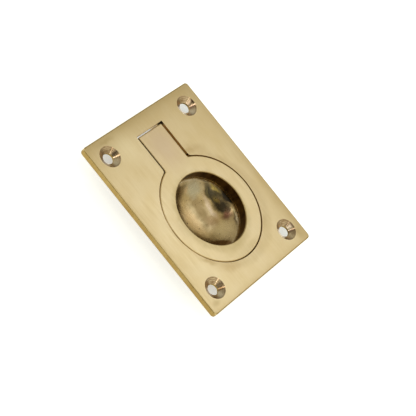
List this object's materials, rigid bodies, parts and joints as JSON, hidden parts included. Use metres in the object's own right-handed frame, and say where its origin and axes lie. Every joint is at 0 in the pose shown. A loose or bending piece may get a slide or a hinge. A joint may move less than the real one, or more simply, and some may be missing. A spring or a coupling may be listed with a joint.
{
  "type": "ring pull handle",
  "caption": "Flush ring pull for a drawer or cabinet door: a countersunk plate with a dished finger cup and a hinged ring that folds level with its face.",
  "frame": {"origin": "middle of the screw hole pattern, on the back of the plate's flange", "axes": "+Z out of the face, +Y along the plate towards the hinge, +X across the plate"},
  "size_m": [0.051, 0.063, 0.0106],
  "materials": {
    "backplate": "satin linished face, dull stained cup, as-cast back",
    "pull_ring": "satin linished face",
    "hinge_pin": "drawn wire, peened ends"
  },
  "bodies": {
    "plate": {"backplate": "backplate", "hinge_pin": "hinge_pin"},
    "ring": {"pull_ring": "pull_ring"}
  },
  "joints": [
    {"name": "ring_hinge", "type": "hinge", "parent": "plate", "child": "ring", "pos_m": [0, 0.0205, -0.0009], "axis": [-1, 0, 0], "range_deg": [0, 118]}
  ]
}
